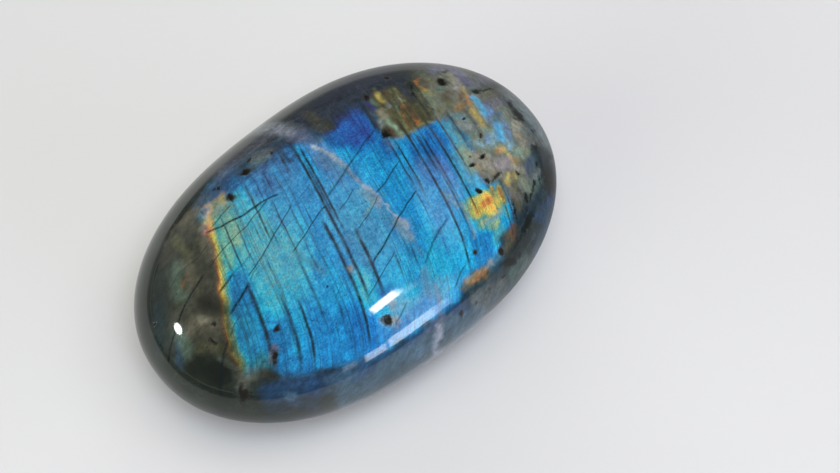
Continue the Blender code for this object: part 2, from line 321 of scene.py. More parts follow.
# Soft strokes over the body and the flash, each laid over the last: (from along, across, to along, across,
# all in tenths of a millimetre, half width in hundredths of one, colour, share in percent).
# Most are other feldspar; the few thin dark strokes marked below are painted reflections of a dark horizon.
STROKES_AND_PAINTED_REFLECTIONS = (
    (19, 24, 16, -6, 28, ROSE_GREY, 50), (16, -6, 22, -40, 26, ROSE_GREY, 35),
    (-236, 26, -224, 56, 90, TAUPE, 40), (-294, -32, -288, -8, 80, SEA_GREEN, 45),
    (-298, -108, -282, -94, 90, COAL, 40), (-78, 123, -60, 122, 90, SLATE, 50),
    (86, 10, 94, 32, 50, PEWTER, 35), (2, -170, 14, -154, 60, ICE, 30), (26, -110, 32, -90, 50, ICE, 30),
    # Painted reflection: the COAL strokes from (-306, 46) to (-162, 134), here and on the next two lines,
    # draw a dark horizon mirrored along the upper left rim.
    (-22, -200, 4, -199, 30, PEARL, 35), (-306, 46, -284, 74, 35, COAL, 65),
    (-284, 74, -246, 104, 40, COAL, 75), (-246, 104, -208, 125, 40, COAL, 75),
    (-208, 125, -162, 134, 30, COAL, 60), (-288, 34, -256, 74, 140, BLACK_GREEN, 80),
    (-256, 26, -236, 66, 90, SEA_GREEN, 35), (-247, 32, -234, 43, 30, BROWN, 60),
    (-216, 66, -212, 102, 50, MOSS, 35), (-308, 4, -288, 40, 90, DEEP_TEAL, 50),
    (-272, -16, -248, -39, 80, TAUPE, 55), (-258, -19, -250, -28, 40, BEIGE, 40),
    (-306, -36, -296, -18, 50, NAVY, 50), (-242, -4, -228, -34, 100, COAL, 72),
    (-296, -54, -274, -92, 140, COAL, 93), (-266, -74, -259, -102, 35, PEWTER, 28),
    (-278, -44, -264, -60, 60, OLIVE, 40), (-260, -66, -252, -80, 60, DARK_OLIVE, 60),
    (-276, -110, -240, -138, 100, BLACK_GREEN, 50), (-260, -112, -236, -122, 70, TAUPE, 20),
    (-240, -140, -192, -170, 100, NAVY, 75), (-188, -172, -120, -190, 70, NAVY, 70),
    (-160, -194, -40, -206, 70, STEEL, 45), (-40, -206, 70, -208, 60, STEEL, 45),
    # Painted reflection: both thin NAVY strokes on the next line are a dark horizon mirrored along the lower
    # edge of the flash.
    (-140, -193, -60, -199.5, 28, NAVY, 80), (-60, -199.5, 50, -200.5, 26, NAVY, 80),
    (-170, -179, -136, -187, 50, STEEL, 45), (-224, -158, -214, -166, 20, STEEL, 50),
    (-89, 116, -72, 110, 55, DARK_OLIVE, 60), (-129, 96, -118, 88, 50, DARK_OLIVE, 50),
    (-70, -169, -56, -177, 50, TAN, 55), (99, 36, 104, 24, 55, UMBER, 65),
    (-69, -100, -66, -99, 32, TAN, 70), (-219, -120, -205, -116, 30, BROWN, 60),
    # Painted reflection: the thin COAL strokes from (-304, 36) to (-160, 129), here and on the next two
    # lines, are the dark core of that mirrored horizon.
    (-235, -127, -231, -127, 28, BROWN, 40), (-304, 36, -282, 69, 24, COAL, 85),
    (-282, 69, -243, 101, 26, COAL, 90), (-243, 101, -206, 124, 22, COAL, 85),
    (-206, 124, -160, 129, 20, COAL, 85), (-186, 112, -164, 114, 100, TAUPE, 60),
    (-150, 122, -104, 132, 110, HAZE_BLUE, 70), (-126, 116, -96, 124, 80, NAVY, 50),
    (-82, 130, -42, 119, 90, GREY_GREEN, 80), (-68, 115, -46, 112, 45, SEA_GREEN, 35),
    (-32, 126, -6, 112, 90, SLATE, 80), (-33, 80, -27, 118, 35, SLATE, 75),
    (-20, 82, -10, 110, 35, SLATE, 60), (-100, 144, -20, 150, 130, LILAC, 40),
    (5, 98, -4, 146, 80, LILAC, 80), (4, 130, -16, 184, 120, PEARL, 32),
    (-60, 124, -42, 120, 80, ROSE_GREY, 25), (-195, 34, -186, 68, 70, TAUPE, 60),
    (17, 82, 16, 120, 70, LILAC, 55), (26, 94, 70, 124, 130, SLATE, 85), (36, 96, 42, 138, 80, OLIVE, 45),
    (46, 89, 51, 106, 40, DARK_OLIVE, 80), (74, 108, 160, 128, 150, SLATE, 90),
    (-179, 78, -156, 103, 45, ROSE_GREY, 50), (-178, 73, -172, 68, 32, PINK, 75),
    (-169, 77, -157, 96, 34, APRICOT, 75), (-154, 90, -150, 108, 35, APRICOT, 60),
    (-159, 84, -152, 89, 35, SAGE, 60), (-147, 96, -136, 99, 60, KHAKI, 90),
    (-136, 90, -129, 102, 40, GOLD, 70), (-150, 86, -136, 82, 60, SAGE, 80),
    (-146, 106, -128, 108, 40, TAN, 55), (6.5, 81, 10.5, 66, 30, PEARL, 80),
    (10.5, 66, 16, 49, 24, PEARL, 65), (16, 48, 15.5, 29, 36, PEARL, 80), (5, 56, 9, 24, 90, STEEL, 45),
    (12, 19, 14, 6, 30, STEEL, 60), (14, 6, 19.5, -8, 16, PALE_GREY, 50),
    (12, -24, 16, -38, 75, PALE_GREY, 50), (19, -16, 23, -36, 22, PEARL, 60),
    (22, -44, 16, -52, 40, ROSE_GREY, 60), (18, -40, -6, -53, 30, SAGE, 45),
    (23, -54, 25.5, -76, 14, PEARL, 75), (16, -56, 16, -78, 70, STEEL, 40),
    (25, -78, 30, -96, 36, PEARL, 75), (20, -86, 24, -110, 70, PALE_GREY, 65),
    (14, -119, 13, -136, 35, NAVY, 35), (26, -120, 22, -134, 40, STEEL, 50),
    (16, -154, 4, -168, 70, STEEL, 50), (16, -172, 12, -186, 35, PALE_GREY, 50),
    (8, -199, -4, -206, 35, ROSE_GREY, 25), (-4, -206, -16, -213, 40, PEARL, 45),
    (-104, -62, -99, -82, 45, STEEL, 55), (-112, -40, -108, -54, 45, STEEL, 35),
    (102, -86, 106, -108, 45, PALE_GREY, 45), (-46, -164, -32, -168, 70, ICE, 50),
    (-52, -162, -42, -161, 30, APRICOT, 30), (101, -152, 109, -126, 16, ICE, 80),
    (109, -126, 115, -106, 22, PALE_GREEN, 80), (52, -189, 98, -186, 42, OLIVE, 80),
    (58, -184.5, 108, -181.5, 26, TAN, 85), (68, -186.5, 94, -185.5, 16, COPPER, 60),
    (126, -144, 160, -139, 30, ICE, 50), (122, -139, 154, -138, 16, STRAW, 50),
    # Painted reflection: the first stroke on the next line, in DEEP_TEAL, carries that mirrored dark horizon
    # on to the right.
    (46, -199, 130, -196, 50, DEEP_TEAL, 70), (126, -189, 162, -177, 90, GREY_GREEN, 80),
    (129, -192, 139, -189, 30, COAL, 70), (60, -203, 116, -200, 45, PEWTER, 45),
    (144, -195, 196, -179, 55, PEWTER, 40), (144, -174, 176, -156, 45, DARK_OLIVE, 55),
    (174, -154, 204, -136, 45, DARK_OLIVE, 50), (-248, -125, -224, -131, 75, GREY_GREEN, 80),
    (-264, -112, -246, -118, 70, PEWTER, 30), (282, -94, 298, -64, 70, PEWTER, 50),
    (227, -66, 234, -52, 40, ICE, 40), (226, -88, 234, -74, 45, PALE_GREEN, 35),
    (190, -186, 234, -164, 80, STEEL, 55), (130, -198, 170, -193, 60, SEA_GREEN, 45),
    (102, -182, 120, -179, 50, TEAL, 50), (289, 6, 285, -36, 80, BLACK_GREEN, 50),
    (284, -74, 266, -106, 100, BLACK_GREEN, 65), (266, -106, 248, -132, 110, BLACK_GREEN, 75),
    (144, -184, 194, -159, 110, BLACK_GREEN, 70), (194, -159, 248, -129, 75, BLACK_GREEN, 65),
    (172, -112, 175, -132, 30, OLIVE, 50), (184, -44, 224, -56, 150, PALE_GREEN, 40),
    (236, -56, 262, -42, 100, ICE, 30), (302, 14, 300, -66, 130, PALE_GREY, 45),
    (270, 6, 270, -68, 110, BEIGE, 38), (224, 76, 232, 68, 70, DARK_OLIVE, 60),
    (95.5, 49, 104, 96, 42, SLATE, 90), (99, 60, 112, 80, 30, HAZE_BLUE, 80),
    (109, 81, 113, 95, 36, INDIGO, 85), (118, 83, 121, 96, 26, SEA_GREEN, 50),
    (112, 56, 117, 70, 50, BEIGE, 55), (100, 47, 105, 57, 38, PALE_GREY, 80),
    (110, 15, 111.5, 49, 36, PALE_GREEN, 85), (103, 16, 105, 20, 30, SAGE, 70),
    (117.5, 10, 122, 44, 20, DARK_OLIVE, 90), (123, 70, 128, 102, 16, DARK_OLIVE, 80),
    (129, 84, 135, 103, 32, GOLD, 90), (130, 92, 133, 98, 22, STRAW, 40),
    (135, 106, 138, 114, 25, MOSS, 60), (129, 68, 132, 79, 28, PALE_GREY, 60),
    (124, 16, 133, 58, 22, KHAKI, 85), (129.5, 21, 133, 34, 18, BROWN, 90),
    (134, 39, 142, 57, 22, OCHRE, 80), (136, 58, 145, 76, 22, SEA_GREEN, 65),
    (140, 82, 145, 100, 20, UMBER, 70), (144, 76, 150, 98, 20, MOSS, 70),
    (151.5, 66, 155, 80, 20, BEIGE, 80), (149, 61, 154, 66, 20, KHAKI, 80),
    (154, 80, 159.5, 97, 22, KHAKI, 85), (164, 62, 172, 100, 55, SLATE, 85),
    (140, 18, 145, 33, 34, COPPER, 85), (146, 34, 150, 52, 36, UMBER, 85),
    (144, 54, 151, 61, 20, BROWN, 80), (154, 24, 160, 56, 50, DARK_OLIVE, 75),
    (135.5, 14, 143, 52, 13, DARK_OLIVE, 85), (139, 54, 149, 90, 15, DARK_OLIVE, 75),
    (121, 15.5, 133, 15, 20, SAGE, 80), (139, 15, 150, 14, 20, KHAKI, 90), (156, 14, 162, 10, 22, SAGE, 80),
    (151.5, 10, 156, 28, 15, DARK_OLIVE, 90), (163, 16, 174, 62, 30, DARK_OLIVE, 80),
    (169.5, 20, 177, 62, 22, OLIVE, 80), (174, 34, 187, 84, 22, DARK_OLIVE, 75),
    (170, 12, 175, 28, 20, PALE_GREY, 50), (166, 86, 186, 108, 70, SLATE, 60),
    (182, 36, 190, 60, 45, SAGE, 80), (180, 24, 186, 28, 42, MOSS, 80), (174, 4, 184, 8, 45, STEEL, 70),
    (192, 86, 202, 92, 28, COPPER, 75), (190, 80, 193, 70, 32, OCHRE, 85), (193, 72, 196, 67, 26, GOLD, 50),
    (198, 74, 205, 81, 45, UMBER, 55), (211, 82, 219, 90, 32, MOSS, 60), (210, 69, 223, 80, 42, TAUPE, 80),
    (186, 68, 195, 56, 42, KHAKI, 85), (208, 56, 216, 62, 42, SEA_GREEN, 70),
    (199, 46, 204, 56, 32, MOSS, 50), (240, 64, 249, 78, 65, BEIGE, 75),
    (230, 49, 245, 60, 50, ROSE_GREY, 60), (204, 37, 218, 46, 60, UMBER, 60),
    (200, 28, 208, 30, 50, MOSS, 60), (234, 34, 243, 47, 30, TAN, 85), (223, 29, 231, 37, 42, BROWN, 65),
    (206, 17, 218, 19, 38, OCHRE, 70), (225, 17, 238, 27, 24, COPPER, 85), (221, 0, 232, 18, 36, TAN, 90),
    (219, -23, 224, 2, 42, GOLD, 80), (229, -22, 236, 14, 20, PALE_GREEN, 60),
    (237, -9, 243, 22, 46, SKY, 90), (245, -8, 251, 6, 45, HAZY_SKY, 60), (250, 34, 262, 30, 30, SLATE, 85),
    (246, 42, 252, 37, 25, SEA_GREEN, 60), (254, 18, 276, 20, 80, TAUPE, 50),
    (255, 50, 262, 94, 75, VIOLET_GREY, 75), (230, 98, 252, 108, 90, VIOLET_GREY, 50),
    (212, 99, 220, 104, 32, MOSS, 50), (184, 94, 202, 104, 35, DARK_OLIVE, 70),
    (270, 46, 292, 56, 100, LILAC, 50), (256, 6, 276, 4, 80, LILAC, 60),
    (150, -4, 145, -52, 28, HAZE_BLUE, 55), (166, -44, 174, -2, 42, TEAL, 55),
    (177, -14, 176, -24, 30, SEA_GREEN, 50), (187, 9, 180, -34, 28, GREY_GREEN, 70),
    (182, -34, 181, -50, 42, STEEL, 70), (195, 5, 202, -3, 50, TEAL, 50),
    (193, -10, 204, -25, 85, PALE_GREY, 85), (188, -28, 203, -31, 25, SEA_GREEN, 50),
    (202, -38, 211, -29, 28, TAUPE, 60), (192, -43, 195, -52, 36, ICE, 80),
    (205, -49, 215, -43, 36, HAZY_SKY, 70), (210, -56, 222, -46, 50, ICE, 80),
    (215, -32, 223, -39, 42, PALE_GREEN, 70), (229, -53, 238, -32, 62, SKY, 95),
    (242, -56, 253, -32, 36, HAZY_SKY, 65), (234, -18, 248, -8, 42, HAZY_SKY, 75),
    (244, -25, 257, -15, 50, STEEL, 75), (255, -36, 262, -28, 20, SEA_GREEN, 85),
    (264, -16, 274, -8, 30, SEA_GREEN, 40), (256, -50, 270, -38, 65, BEIGE, 85),
    (253, -60, 258, -57, 22, TAN, 90), (249, -75, 258, -65, 42, BEIGE, 80),
    (235, -82, 242, -73, 50, PALE_GREEN, 80), (247, -84, 255, -77, 40, SAGE, 80),
    (229, -68, 236, -62, 40, ICE, 80), (151, -76, 154, -44, 34, TEAL, 50),
    (158, -78, 164, -46, 52, PALE_GREEN, 80), (168, -73, 167, -83, 30, TAN, 60),
    (173, -58, 188, -76, 75, BEIGE, 85), (179, -84, 186, -96, 75, BEIGE, 75),
    (178, -98, 190, -92, 30, OLIVE, 50), (195, -86, 211, -88, 80, ROSE_GREY, 90),
    (209, -70, 218, -69, 28, APRICOT, 85), (210, -64.5, 221, -65.5, 22, GOLD, 80),
    (220, -70, 223.5, -79, 20, STRAW, 85), (221, -81, 223, -84, 20, APRICOT, 80),
    (222, -92, 229, -88, 40, TAN, 80), (217, -98, 226, -106, 36, BEIGE, 80),
    (212, -108, 218, -130, 60, SAGE, 80), (191, -112, 200, -104, 34, STRAW, 75),
    (206, -109, 210, -102, 16, GOLD, 80), (195, -122, 203, -113, 32, MOSS, 80),
    (186, -136, 194, -124, 60, TAUPE, 85), (183, -144, 189, -141, 36, OLIVE, 80),
    (200, -124, 205, -140, 24, DARK_OLIVE, 80), (231, -108, 246, -92, 42, NAVY, 60),
    (236, -115, 252, -108, 36, PALE_GREY, 50), (222, -126, 246, -122, 60, SEA_GREEN, 35),
    (252, -130, 276, -98, 90, BLACK_GREEN, 90), (266, -84, 286, -88, 50, BLACK_GREEN, 70),
    (282, -10, 288, -46, 42, BLACK_GREEN, 55), (208, -147, 244, -131, 45, DEEP_TEAL, 85),
    (226, -150, 256, -137, 30, NAVY, 70), (174, -157, 202, -152, 60, DEEP_TEAL, 90),
    (164, -176, 206, -164, 70, GREY_GREEN, 70), (202, -159, 220, -155, 36, NAVY, 50),
    (162, -119, 165, -113, 26, TAUPE, 85), (154, -166, 160, -160, 45, BROWN, 75),
    (132, -176, 148, -168, 50, OLIVE, 60), (177, -122, 181, -108, 22, OLIVE, 80),
)
# In half widths from its middle, how far a stroke shows and over how much of that it fades.
STROKE_END = 1.95
STROKE_FADE = 1.9
# Ragged dark patches: (along, across, half length, half width, turn).
SMUDGES = (
    (-26.2, -5.2, 0.75, 0.18, 105), (-24.8, -3.8, 0.4, 0.25, 0), (-26.4, -12.2, 0.85, 0.35, 118),
    (-12.8, 12.4, 0.3, 0.3, 0), (-3.9, 11.4, 0.6, 0.16, 78), (-6.6, 12.8, 0.7, 0.22, 20),
    (25.4, 3.1, 0.75, 0.45, 0), (27.4, 3, 1.2, 0.28, 4), (28.7, -0.5, 0.8, 0.4, 60),
    (28.3, -2.6, 1.1, 0.8, 40), (28.7, -5.4, 0.45, 0.35, 0), (26.9, -7.9, 0.75, 0.45, 20),
    (29, -9, 0.9, 0.45, 30), (26.4, -11.8, 2.2, 1.1, 40), (17.3, 7.2, 0.5, 0.22, 40),
    (16.7, 12.2, 0.55, 0.4, 60), (11.9, 10.6, 0.6, 0.5, 80), (24.6, 9, 0.6, 0.24, 10),
    (20.6, -13.4, 0.9, 0.26, 60), (17.7, -14.4, 1.4, 0.22, 66), (18.8, -16, 1.6, 0.45, 30),
    (13.4, -18.8, 1.1, 0.28, 0), (16.6, -9.9, 0.75, 0.22, 70), (18.2, -9.8, 1, 0.26, 20),
    (18.5, -6.6, 0.55, 0.25, 8), (20.3, -3.9, 0.7, 0.16, 40), (18.1, 8.6, 0.9, 0.16, 60),
    (22.9, -12.4, 1.1, 0.22, 40), (3.4, -20.5, 0.26, 0.16, 0), (6.2, -20.4, 0.22, 0.14, 0),
    (19.4, -14.9, 0.45, 0.13, 40), (21.3, -13.6, 0.55, 0.15, 50), (20.2, -15.6, 0.3, 0.12, 20),
    (15.3, -18.5, 0.4, 0.14, 20), (16.7, -17.1, 0.45, 0.12, 50), (22.6, -14.2, 0.35, 0.12, 30),
    (24.2, -11.9, 0.5, 0.16, 55), (25.4, -10, 0.45, 0.14, 45), (11.6, -19.6, 0.35, 0.1, 5),
    (8.8, -20, 0.24, 0.1, 0),
)
# Black grains: (along, across, longer radius, shorter radius, turn).
GRAINS = tuple((x, y, r * 1.05, r * PIT_SLIMNESS * 1.1, turn) for x, y, r, turn in PITS) + (
    (-26.9, -11.9, 0.62, 0.4, 50), (-26.4, -12.5, 0.5, 0.34, 10), (11.8, 10.5, 0.7, 0.5, 60),
    (9.1, -16.4, 0.4, 0.34, 0), (12.7, -17.6, 0.5, 0.4, 10), (18.4, -6.6, 0.55, 0.3, 10),
    (16.8, -5.9, 0.22, 0.32, 0), (16.5, -9.8, 0.3, 0.5, 20), (21.5, -10.6, 0.22, 0.5, 10),
    (-26.2, -5.2, 0.24, 0.7, 12), (-24.8, -3.7, 0.4, 0.3, 0), (-12.4, 12.1, 0.26, 0.6, -20),
    (-16.3, 10.6, 0.14, 0.6, 0), (16.8, 12.2, 0.4, 0.5, 20), (-10.6, -9.9, 0.2, 0.15, 0),
    (20.2, -0.4, 0.4, 0.26, 0), (3.5, -20.5, 0.34, 0.22, 20), (-9.5, -12, 0.2, 0.1, 30),
    (-30, 3, 0.3, 0.3, 0), (-21.6, -12.6, 0.4, 0.3, 30),
)
# The distance to the nearest patch or grain is followed out to this many times its size.
SMUDGE_REACH = 4.0
GRAIN_REACH = 3.0
# Twin planes that show as dark lines: (which plane, from across, to across, half width, darkness).
TWIN_LINES = (
    (-16.03, -12.2, -2.4, 0.23, 0.95), (-15.8, -1.2, 7.8, 0.11, 0.78), (-13.29, -15.6, -6.4, 0.21, 0.84),
    (-13.05, -6.4, -0.6, 0.1, 0.5), (-12.74, -0.4, 3.6, 0.1, 0.67), (-11.78, -16.4, -8.6, 0.18, 1),
    (-11.68, -0.8, 10.2, 0.13, 0.9), (-11.1, -2.2, 2.8, 0.1, 0.56), (-10.4, 5.2, 9.6, 0.1, 0.73),
    (-9.8, -13.4, -4, 0.19, 0.56), (-9.56, -4.4, 4.6, 0.1, 0.78), (-9.4, 6, 8.6, 0.1, 0.56),
    (-7.82, -3.4, 2.4, 0.1, 0.56), (-7.78, 4.2, 8.2, 0.1, 0.73), (-7.6, -15, -10.4, 0.15, 0.5),
    (-5.9, 6.8, 11.2, 0.18, 0.95), (-4.95, -18.6, -2, 0.23, 1), (-3.78, -14, 10.2, 0.21, 1),
    (-3.01, -5, 9.4, 0.17, 1), (-3.4, -3, 6, 0.3, 0.6), (-1.7, -14.8, -5.6, 0.24, 1),
    (1.8, -14.4, -10.8, 0.14, 0.67), (4.3, -14.8, -11.4, 0.15, 0.78), (6.94, -5.4, -2.6, 0.1, 0.56),
    (7.53, -17.2, -13.8, 0.11, 0.56), (8.27, 4, 11.4, 0.32, 1), (8.65, -11.8, -5.8, 0.11, 0.5),
    (8.86, -6, 2.4, 0.16, 0.78), (9.14, -15.8, -12.4, 0.12, 0.67), (9.84, -6.8, 2.2, 0.15, 1),
    (12.12, -18.4, 4.4, 0.24, 1), (12.61, 2.4, 10, 0.2, 0.95), (13.4, -6, 1.8, 0.26, 0.9),
    (13.76, -14.4, -6, 0.18, 0.75), (13.5, 2.6, 9.8, 0.15, 0.9), (14.2, -9, 1.6, 0.2, 0.85),
    (15.3, -2.6, 1.2, 0.13, 0.8), (14.75, 4, 10.2, 0.14, 0.8), (15.7, 5.6, 9.6, 0.18, 0.9),
    (16.2, -13.4, 1.6, 0.24, 1), (17.13, 2, 9.6, 0.28, 1), (18.2, -8.4, 3.4, 0.22, 1),
    (18.45, 1.4, 9.4, 0.21, 0.95), (20.5, -4.6, 2, 0.18, 0.78), (21.6, -17, -12.6, 0.18, 0.95),
    (22.6, -16.4, -9.8, 0.23, 0.95), (23.8, -4.6, 2.4, 0.12, 0.67), (24.1, -3.6, 0.6, 0.16, 0.6),
    (-10.55, -14.6, -11, 0.1, 0.55), (-8.7, -16.6, -13, 0.1, 0.5), (-7.3, -17, -14.4, 0.1, 0.5),
    (-14.5, -2, 6.4, 0.1, 0.6), (-13.9, 3, 8.4, 0.1, 0.5), (-8.9, 5.6, 9.8, 0.1, 0.7),
    (-8.2, -8, -2, 0.1, 0.5), (-6.8, 1, 5.4, 0.1, 0.55), (-6.2, -3.4, 1.6, 0.1, 0.5),
    (2.8, -16.8, -13.4, 0.1, 0.5), (5.4, -15.8, -12.6, 0.1, 0.55),
)
# Cracks across them: (half width, darkness, points in plan).
CRACKS = (
    (0.2, 1, ((-18.2, 7.3), (-16, 6.3), (-14.6, 6), (-13.2, 5.5), (-10, 5.25), (-8.4, 5), (-7.4, 4.6))),
    (0.11, 0.81, ((-20.6, 2.7), (-18, 3.35), (-16, 3.6), (-13.5, 3.8), (-12, 4.3), (-9, 5))),
    (0.12, 0.76, ((-17.4, 7.2), (-15.5, 7.6), (-14, 8), (-12.8, 8.2))),
    (0.11, 0.86, ((-18, -2.2), (-15, -1.3), (-13, -0.4), (-11.5, 0.3), (-9.5, 1.1), (-7.2, 2.2))),
    (0.2, 0.97, ((-22.2, -1.2), (-20.5, -0.75), (-18.9, -0.35))),
    (0.08, 0.65, ((-18.9, -0.35), (-17.5, -0.3), (-15.2, 0.3))),
    (0.23, 1, ((-22.8, -4.4), (-20.4, -3.75), (-18.1, -2.9))),
    (0.08, 0.65, ((-18.1, -2.9), (-17, -2.2), (-15.8, -1.9))),
    (0.1, 0.97, ((-11.6, -3.5), (-9, -2.7), (-7.5, -2.1), (-5.5, -1.3), (-3.8, -0.9))),
    (0.08, 0.54, ((-11, -11.6), (-9, -10.8), (-7.9, -10.3))),
    (0.08, 0.81, ((-7.2, -13.9), (-5.5, -13.3), (-4, -12.7), (-2.4, -12.1), (-0.4, -11.3))),
    (0.18, 0.7, ((-3.2, -0.1), (-1.5, 0.5), (0.5, 1.3), (2, 2), (4.5, 3), (6, 3.7), (9, 4.8))),
    (0.1, 0.76, ((-3.2, -2.7), (-1.5, -2.2), (-0.2, -1.6), (0.8, -1.2))),
    (0.12, 0.92, ((2.3, -3.6), (4.5, -3), (6, -2.3), (8.2, -1.4))),
    (0.08, 0.7, ((-3, -6.3), (-0.5, -5.5), (1.5, -4.6), (2.6, -3.8))),
    (0.13, 1, ((-4, -10.9), (-1.5, -10), (0.5, -9.1), (2.5, -8.1), (4.5, -7.3), (7.4, -6.2))),
    (0.19, 0.7, ((1.8, -14.6), (3, -13.9), (4.5, -13), (6, -12.3), (8.6, -11.4))),
    (0.1, 0.7, ((3.8, -18.5), (5.5, -17.6), (7.2, -16.9))),
    (0.11, 0.65, ((-5.8, -18), (-4.4, -17.5), (-2.6, -16.7))),
    (0.18, 0.86, ((-32, -2.4), (-30.5, -1.2), (-28, 0.2), (-26, 1.2), (-24.2, 1.8), (-21.6, 2.5))),
    (0.24, 0.76, ((-29.2, -10.4), (-27.5, -8.5), (-26, -7.4), (-24.4, -6.5))),
    (0.12, 0.65, ((-24.4, -6.5), (-23, -5.8), (-21.4, -5.2))),
    (0.08, 0.49, ((-26.4, 4.6), (-24, 5.4), (-21, 5), (-18.6, 5.6))),
    (0.1, 0.43, ((-6.6, 2), (-5.4, 2.5), (-3.6, 2.9))), (0.1, 0.38, ((4.2, -0.2), (6.2, 0.2), (8.2, 0.8))),
    (0.08, 0.45, ((-17.5, -2.8), (-14.8, -2.6))), (0.08, 0.45, ((-11.5, -0.3), (-8.3, 0.3))),
    (0.09, 0.5, ((-0.1, -15.5), (1.2, -15))),
)
# Lines are kept a family at a time, so that near neighbours don't hide each other within this reach.
LINE_REACH = 0.50
TWIN_FAMILIES = 4
CRACK_FAMILIES = 3
# How far they run past their ends, and how long they fade there.
TWIN_PAST = 0.8
TWIN_FADE = 3
CRACK_PAST = 0.1
CRACK_FADE = 0.8

# How many waves make up a random field, and a distance past anything on the stone.
WAVES = 12
FAR_AWAY = 1e9


def wavering(points, size, amount, seed):
    """A smooth random field: a dozen plane waves about size millimetres long, in random directions."""
    random = np.random.default_rng(seed)
    directions = random.normal(size=(WAVES, 3))
    directions /= np.linalg.norm(directions, axis=1, keepdims=True)
    pitch = 2 * np.pi / (size * random.uniform(0.7, 1.6, WAVES))
    waves = np.sin(points @ (directions * pitch[:, None]).T + random.uniform(0, 2 * np.pi, WAVES))
    return waves.mean(1) * amount * 2.5


def smooth(value):
    """0 below 0 and 1 above 1, with a soft S between."""
    value = np.clip(value, 0, 1)
    return value * value * (3 - 2 * value)


def linear(colour):
    """sRGB from 0 to 255 as linear light from 0 to 1."""
    share = np.asarray(colour, float) / 255
    return np.where(share <= 0.04045, share / 12.92, ((share + 0.055) / 1.055) ** 2.4)


def stretch_distance(x, y, ax, ay, bx, by):
    """Distance in plan to the straight stretch from a to b."""
    share = np.clip(((x - ax) * (bx - ax) + (y - ay) * (by - ay)) / ((bx - ax) ** 2 + (by - ay) ** 2), 0, 1)
    return np.hypot(x - ax - share * (bx - ax), y - ay - share * (by - ay))


def signed_distance(x, y, corners):
    """Distance in plan to a closed outline: positive inside it, negative outside."""
    nearest = np.full(len(x), FAR_AWAY)
    inside = np.zeros(len(x), bool)
    for (ax, ay), (bx, by) in zip(corners, corners[1:] + corners[:1]):
        nearest = np.minimum(nearest, stretch_distance(x, y, ax, ay, bx, by))
        crosses = (ay > y) != (by > y)
        inside ^= crosses & (x < (bx - ax) * (y - ay) / np.where(by == ay, 1e-9, by - ay) + ax)
    return np.where(inside, nearest, -nearest)


def path_distance(x, y, path):
    """Signed distance in plan to an open path: positive on its left."""
    nearest = np.full(len(x), FAR_AWAY)
    signed = np.zeros(len(x))
    for (ax, ay), (bx, by) in zip(path, path[1:]):
        distance = stretch_distance(x, y, ax, ay, bx, by)
        side = (bx - ax) * (y - ay) - (by - ay) * (x - ax)
        signed = np.where(distance < nearest, np.sign(side) * distance, signed)
        nearest = np.minimum(nearest, distance)
    return signed


def composite(start, x, y, blocks):
    """Lays soft blocks over a starting value, each one moving it towards its own value by its share."""
    field = start + np.zeros((len(x), 1))
    for along, across, half_long, half_short, degrees, softness, value, share in blocks:
        reach = block_distance(x, y, along, across, half_long, half_short, degrees, BLOCK_POWER)
        cover = smooth((1 + softness / 2 - reach) / softness)[:, None] * share
        field += (np.atleast_1d(value) - field) * cover
    return field


def blended(start, x, y, blocks, place):
    """The one value at that place of each block, laid over a starting value in full."""
    return composite(start, x, y, [block[:6] + (block[place], 1.0) for block in blocks])[:, 0]


def flash_fields(points):
    """Where the flash stands on the spectrum, how strong it is, and how milky the feldspar over it is."""
    x, y, z = points.T
    crown = smooth((z - BELLY_HEIGHT) / 1.6)
    ragged_x = x + wavering(points, 2.0, 0.09, 1)
    ragged_y = y + wavering(points, 2.4, 0.24, 2)
    hue = blended(MAIN_HUE, ragged_x, ragged_y, MAIN_BLOCKS + ISLAND_BLOCKS, 6)
    outside = signed_distance(ragged_x, ragged_y, FLASH_OUTLINE)
    power = smooth(outside / np.interp(y, *EDGE_SOFTNESS) + np.interp(x, *EDGE_REACH))
    power *= blended(1.0, ragged_x, ragged_y, MAIN_BLOCKS, 7)
    power = blended(power[:, None], ragged_x, ragged_y, ISLAND_BLOCKS, 7)
    from_edge = -path_distance(ragged_x, ragged_y, RAINBOW_EDGE)
    near_edge = smooth(from_edge + 3)
    beside = smooth((1.7 - from_edge) / 0.9) * near_edge * np.interp(y, *RAINBOW_ENDS)
    hue += (np.interp(from_edge, *RAINBOW_HUES) - hue) * beside
    power *= 1 - (1 - np.interp(y, *RAINBOW_LIGHT)) * smooth((1.4 - from_edge) / 0.8) * near_edge
    milk = blended(0.0, ragged_x, ragged_y, MILK_BLOCKS, 6)
    return hue, power * crown, milk * crown


def body_field(points):
    """Colour of the cloudy feldspar under the flash, as linear light: grey-green, tealer on the near side."""
    x, y, z = points.T
    ragged_x = x + wavering(points, 4.0, 0.5, 3)
    ragged_y = y + wavering(points, 3.0, 0.6, 4)
    near_side = smooth((0.45 * x - y - 9) / 8)[:, None] * 0.8
    base = linear(GREY_GREEN) + (linear(SIDE_TEAL) - linear(GREY_GREEN)) * near_side
    blocks = [block[:6] + (linear(block[6]), block[7]) for block in BODY_BLOCKS]
    upper = smooth((z - BELLY_HEIGHT + 3) / 4)[:, None]
    return base + (composite(base, ragged_x, ragged_y, blocks) - base) * upper


